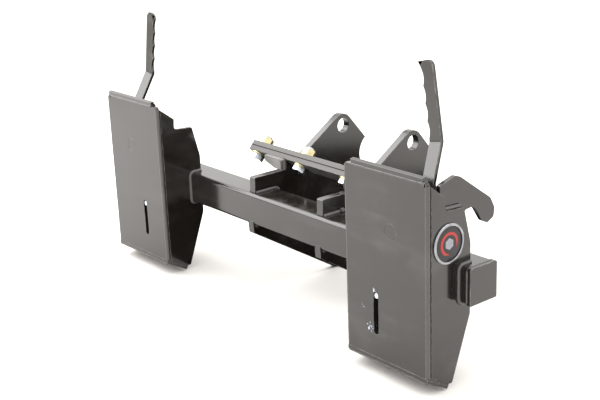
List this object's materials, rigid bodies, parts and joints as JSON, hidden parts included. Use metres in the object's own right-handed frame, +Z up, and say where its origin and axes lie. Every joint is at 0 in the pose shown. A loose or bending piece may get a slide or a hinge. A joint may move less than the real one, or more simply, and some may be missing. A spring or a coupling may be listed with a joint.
{
  "type": "quick coupler",
  "caption": "Skid-steer style quick coupler: two latch boxes with lever-driven locking wedges on a cross tube, and a pinned lug bracket behind.",
  "frame": {"origin": "centre of the boom pin bore, midway between the two bracket plates", "axes": "+X to the right across the coupler along the pin, +Y rearwards towards the machine, +Z up with the latch faces upright"},
  "size_m": [1.184, 0.4457, 0.6335],
  "materials": {
    "frame_paint": "glossy dark warm grey enamel over welded steel",
    "mill_steel": "unpainted mill-scale flat bar, lightly speckled",
    "bright_zinc": "bright zinc plate",
    "yellow_zinc": "yellow chromate zinc plate",
    "spring_steel": "black spring steel",
    "worn_steel": "oiled steel, rubbed bright on the sliding faces",
    "chrome_trim": "bright chrome",
    "badge_enamel": "dark domed enamel"
  },
  "bodies": {
    "frame": {"left_face_plate": "frame_paint", "left_top_lip": "frame_paint", "left_inner_side_plate": "frame_paint", "left_outer_side_plate": "frame_paint", "left_bottom_plate": "frame_paint", "left_wedge_guides": "frame_paint", "left_wedge_keeper": "frame_paint", "left_pivot_pin": "frame_paint", "left_pin_retainer": "yellow_zinc", "right_face_plate": "frame_paint", "right_top_lip": "frame_paint", "right_inner_side_plate": "frame_paint", "right_outer_side_plate": "frame_paint", "right_bottom_plate": "frame_paint", "right_wedge_guides": "frame_paint", "right_wedge_keeper": "frame_paint", "right_pivot_pin": "frame_paint", "right_pin_retainer": "yellow_zinc", "cross_tube": "frame_paint", "lower_bar": "mill_steel", "upper_bar": "mill_steel", "bar_bolts": "bright_zinc", "bar_nuts": "yellow_zinc", "bar_washers": "yellow_zinc", "hook_plate": "frame_paint", "badge_ring": "chrome_trim", "badge_disc": "badge_enamel", "bracket_plate_left": "frame_paint", "bracket_plate_right": "frame_paint", "gusset_left": "mill_steel", "gusset_right": "mill_steel", "tube_cap_left": "frame_paint", "tube_cap_right": "frame_paint"},
    "left_lever": {"left_lever_plate": "frame_paint", "left_lever_hub": "frame_paint", "left_lever_handle": "frame_paint", "left_crank_pin": "bright_zinc"},
    "left_link": {"left_link_rod": "bright_zinc", "left_link_spring": "spring_steel", "left_spring_seats": "bright_zinc"},
    "left_wedge": {"left_wedge": "worn_steel", "left_wedge_guide_pin": "bright_zinc", "left_wedge_clevis_pin": "bright_zinc"},
    "right_lever": {"right_lever_plate": "frame_paint", "right_lever_hub": "frame_paint", "right_lever_handle": "frame_paint", "right_crank_pin": "bright_zinc"},
    "right_link": {"right_link_rod": "bright_zinc", "right_link_spring": "spring_steel", "right_spring_seats": "bright_zinc"},
    "right_wedge": {"right_wedge": "worn_steel", "right_wedge_guide_pin": "bright_zinc", "right_wedge_clevis_pin": "bright_zinc"}
  },
  "joints": [
    {"name": "left_lever_swing", "type": "hinge", "parent": "frame", "child": "left_lever", "pos_m": [-0.49175, -0.308, 0.28], "axis": [0, 1, 0], "range_deg": [0, 77]},
    {"name": "left_link_pivot", "type": "hinge", "parent": "left_lever", "child": "left_link", "pos_m": [-0.44651, -0.3205, 0.31598], "axis": [0, 1, 0], "range_deg": [-77, 0]},
    {"name": "left_wedge_slide", "type": "slide", "parent": "frame", "child": "left_wedge", "axis": [0, 0, -1], "range_m": [0, 0.07196]},
    {"name": "right_lever_swing", "type": "hinge", "parent": "frame", "child": "right_lever", "pos_m": [0.43525, -0.308, 0.28], "axis": [0, -1, 0], "range_deg": [0, 77]},
    {"name": "right_link_pivot", "type": "hinge", "parent": "right_lever", "child": "right_link", "pos_m": [0.39002, -0.3205, 0.31598], "axis": [0, -1, 0], "range_deg": [-77, 0]},
    {"name": "right_wedge_slide", "type": "slide", "parent": "frame", "child": "right_wedge", "axis": [0, 0, -1], "range_m": [0, 0.07196]}
  ],
  "couplings": [
    {"joint": "left_link_pivot", "follows": "left_lever_swing", "ratio": -1},
    {"joint": "left_wedge_slide", "follows": "left_lever_swing", "m_per_rad": 0.053548},
    {"joint": "right_link_pivot", "follows": "right_lever_swing", "ratio": -1},
    {"joint": "right_wedge_slide", "follows": "right_lever_swing", "m_per_rad": 0.053548}
  ]
}
